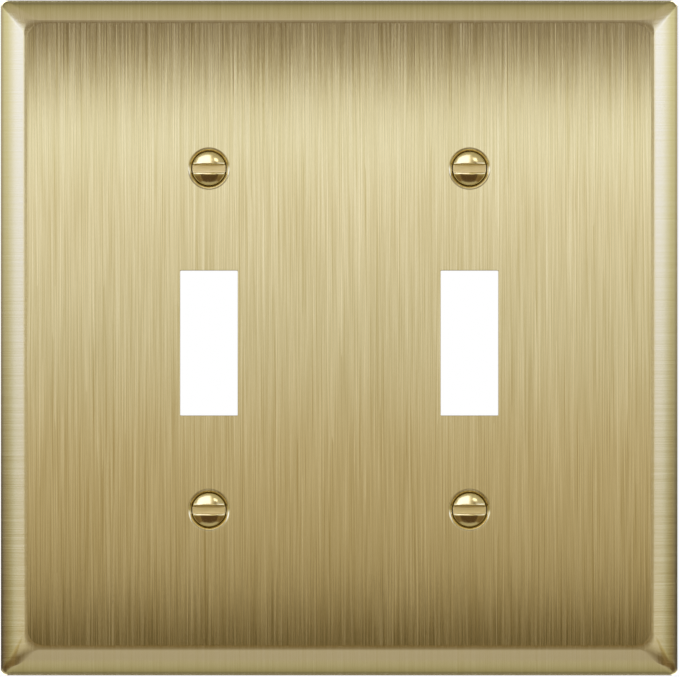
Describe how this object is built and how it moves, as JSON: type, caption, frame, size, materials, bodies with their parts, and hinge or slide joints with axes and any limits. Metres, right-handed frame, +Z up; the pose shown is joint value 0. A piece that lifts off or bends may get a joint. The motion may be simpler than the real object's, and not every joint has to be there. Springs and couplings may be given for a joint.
{
  "type": "toggle switch wall plate",
  "caption": "Square metal wall plate that covers a pair of toggle switches, with bevelled edges, rectangular lever openings and captive slotted oval-head screws.",
  "frame": {"origin": "centre of the rear rim, in the plane of the wall", "axes": "+Z up the wall, +X to the right as seen from the room, +Y into the wall; the front faces -Y"},
  "size_m": [0.1196, 0.0139, 0.1194],
  "materials": {
    "brushed_brass": "brushed, satin",
    "polished_brass": "polished",
    "vulcanised_fibre": "punched vulcanised fibre"
  },
  "bodies": {
    "plate": {"wall_plate": "brushed_brass"},
    "upper_left_retaining_washer": {"upper_left_retaining_washer": "vulcanised_fibre"},
    "upper_left_screw": {"upper_left_screw": "polished_brass"},
    "upper_right_retaining_washer": {"upper_right_retaining_washer": "vulcanised_fibre"},
    "upper_right_screw": {"upper_right_screw": "polished_brass"},
    "lower_left_retaining_washer": {"lower_left_retaining_washer": "vulcanised_fibre"},
    "lower_left_screw": {"lower_left_screw": "polished_brass"},
    "lower_right_retaining_washer": {"lower_right_retaining_washer": "vulcanised_fibre"},
    "lower_right_screw": {"lower_right_screw": "polished_brass"}
  },
  "joints": [
    {"name": "upper_left_screw_advance", "type": "slide", "parent": "plate", "child": "upper_left_retaining_washer", "axis": [0, -1, 0], "range_m": [0, 0.00159]},
    {"name": "upper_left_screw_turn", "type": "hinge", "parent": "upper_left_retaining_washer", "child": "upper_left_screw", "pos_m": [-0.02302, 0, 0.02993], "axis": [0, -1, 0], "range_deg": [0, 720]},
    {"name": "upper_right_screw_advance", "type": "slide", "parent": "plate", "child": "upper_right_retaining_washer", "axis": [0, -1, 0], "range_m": [0, 0.00159]},
    {"name": "upper_right_screw_turn", "type": "hinge", "parent": "upper_right_retaining_washer", "child": "upper_right_screw", "pos_m": [0.02302, 0, 0.02993], "axis": [0, -1, 0], "range_deg": [0, 720]},
    {"name": "lower_left_screw_advance", "type": "slide", "parent": "plate", "child": "lower_left_retaining_washer", "axis": [0, -1, 0], "range_m": [0, 0.00159]},
    {"name": "lower_left_screw_turn", "type": "hinge", "parent": "lower_left_retaining_washer", "child": "lower_left_screw", "pos_m": [-0.02302, 0, -0.03039], "axis": [0, -1, 0], "range_deg": [0, 720]},
    {"name": "lower_right_screw_advance", "type": "slide", "parent": "plate", "child": "lower_right_retaining_washer", "axis": [0, -1, 0], "range_m": [0, 0.00159]},
    {"name": "lower_right_screw_turn", "type": "hinge", "parent": "lower_right_retaining_washer", "child": "lower_right_screw", "pos_m": [0.02302, 0, -0.03039], "axis": [0, -1, 0], "range_deg": [0, 720]}
  ],
  "couplings": [
    {"joint": "upper_left_screw_turn", "follows": "upper_left_screw_advance", "rad_per_m": 7915.8},
    {"joint": "upper_right_screw_turn", "follows": "upper_right_screw_advance", "rad_per_m": 7915.8},
    {"joint": "lower_left_screw_turn", "follows": "lower_left_screw_advance", "rad_per_m": 7915.8},
    {"joint": "lower_right_screw_turn", "follows": "lower_right_screw_advance", "rad_per_m": 7915.8}
  ]
}
